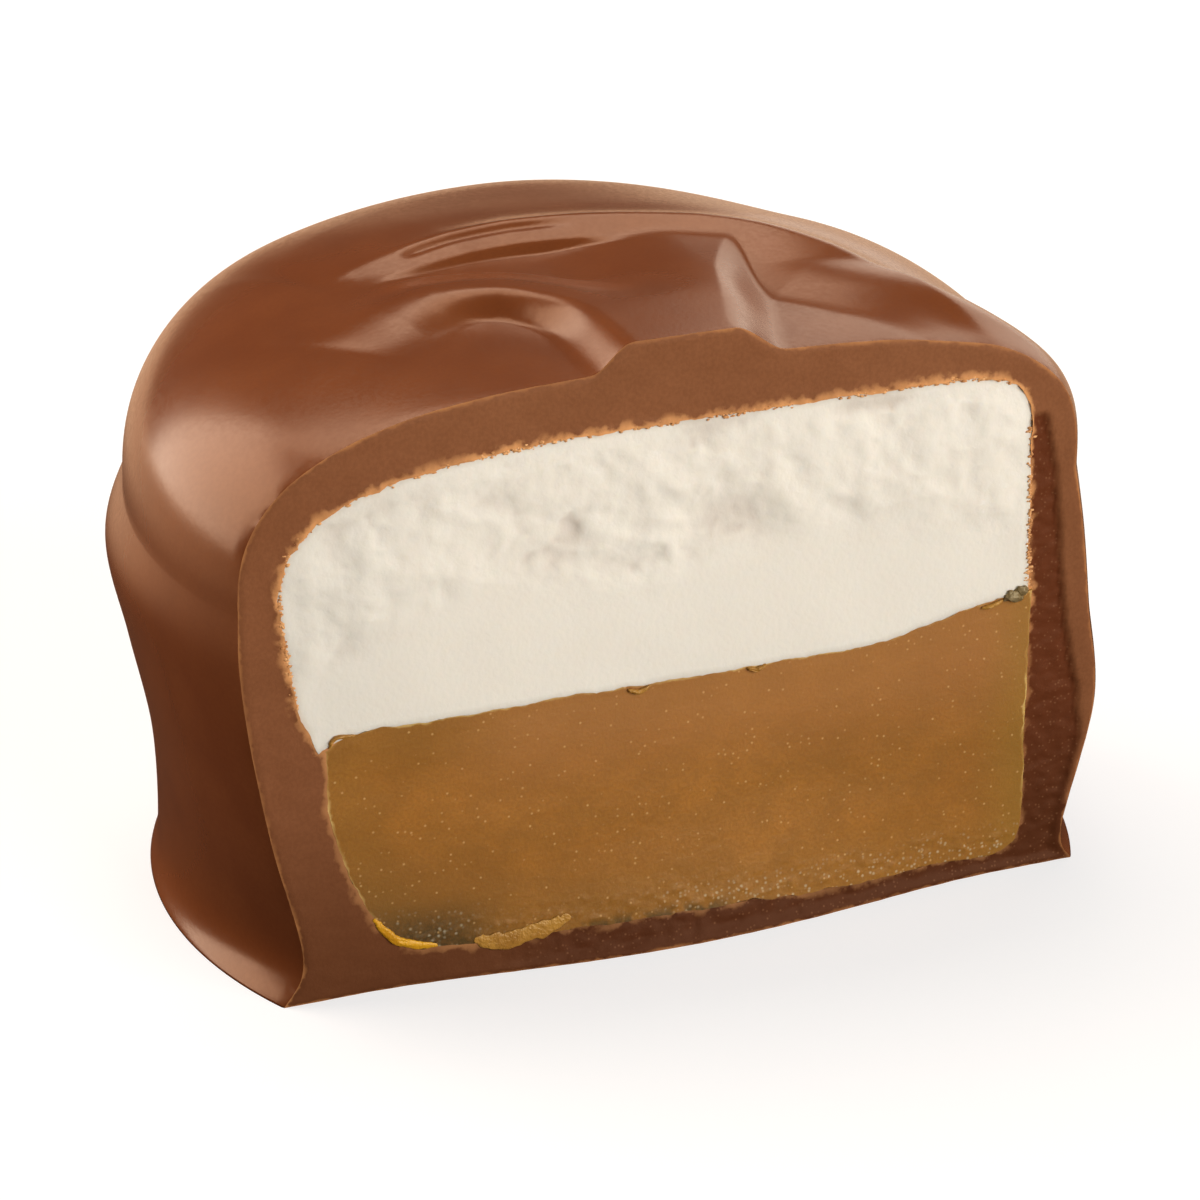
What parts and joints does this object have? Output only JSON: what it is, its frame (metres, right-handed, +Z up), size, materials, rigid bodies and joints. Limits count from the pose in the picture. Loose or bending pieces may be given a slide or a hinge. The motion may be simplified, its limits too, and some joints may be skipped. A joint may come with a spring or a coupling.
{
  "type": "chocolate-covered caramel marshmallow",
  "caption": "Round milk chocolate sweet cut open: a poured coat with a swirled crown over a fluffy marshmallow layer that lies on firm amber caramel.",
  "frame": {"origin": "middle of the footprint box, on the flat base", "axes": "+Z up; +X along the straight cut, to the right as the cut face is looked at; the cut face looks along -Y"},
  "size_m": [0.0344, 0.0256, 0.0222],
  "materials": {
    "milk_chocolate": "milk chocolate, satin on the poured outside and matte on the cut",
    "marshmallow_foam": "ivory aerated foam, matte and finely pitted",
    "caramel": "firm amber caramel, slightly translucent, with fine pale grains"
  },
  "bodies": {
    "root": {"chocolate_coat": "milk_chocolate", "marshmallow": "marshmallow_foam", "caramel": "caramel"}
  },
  "joints": []
}
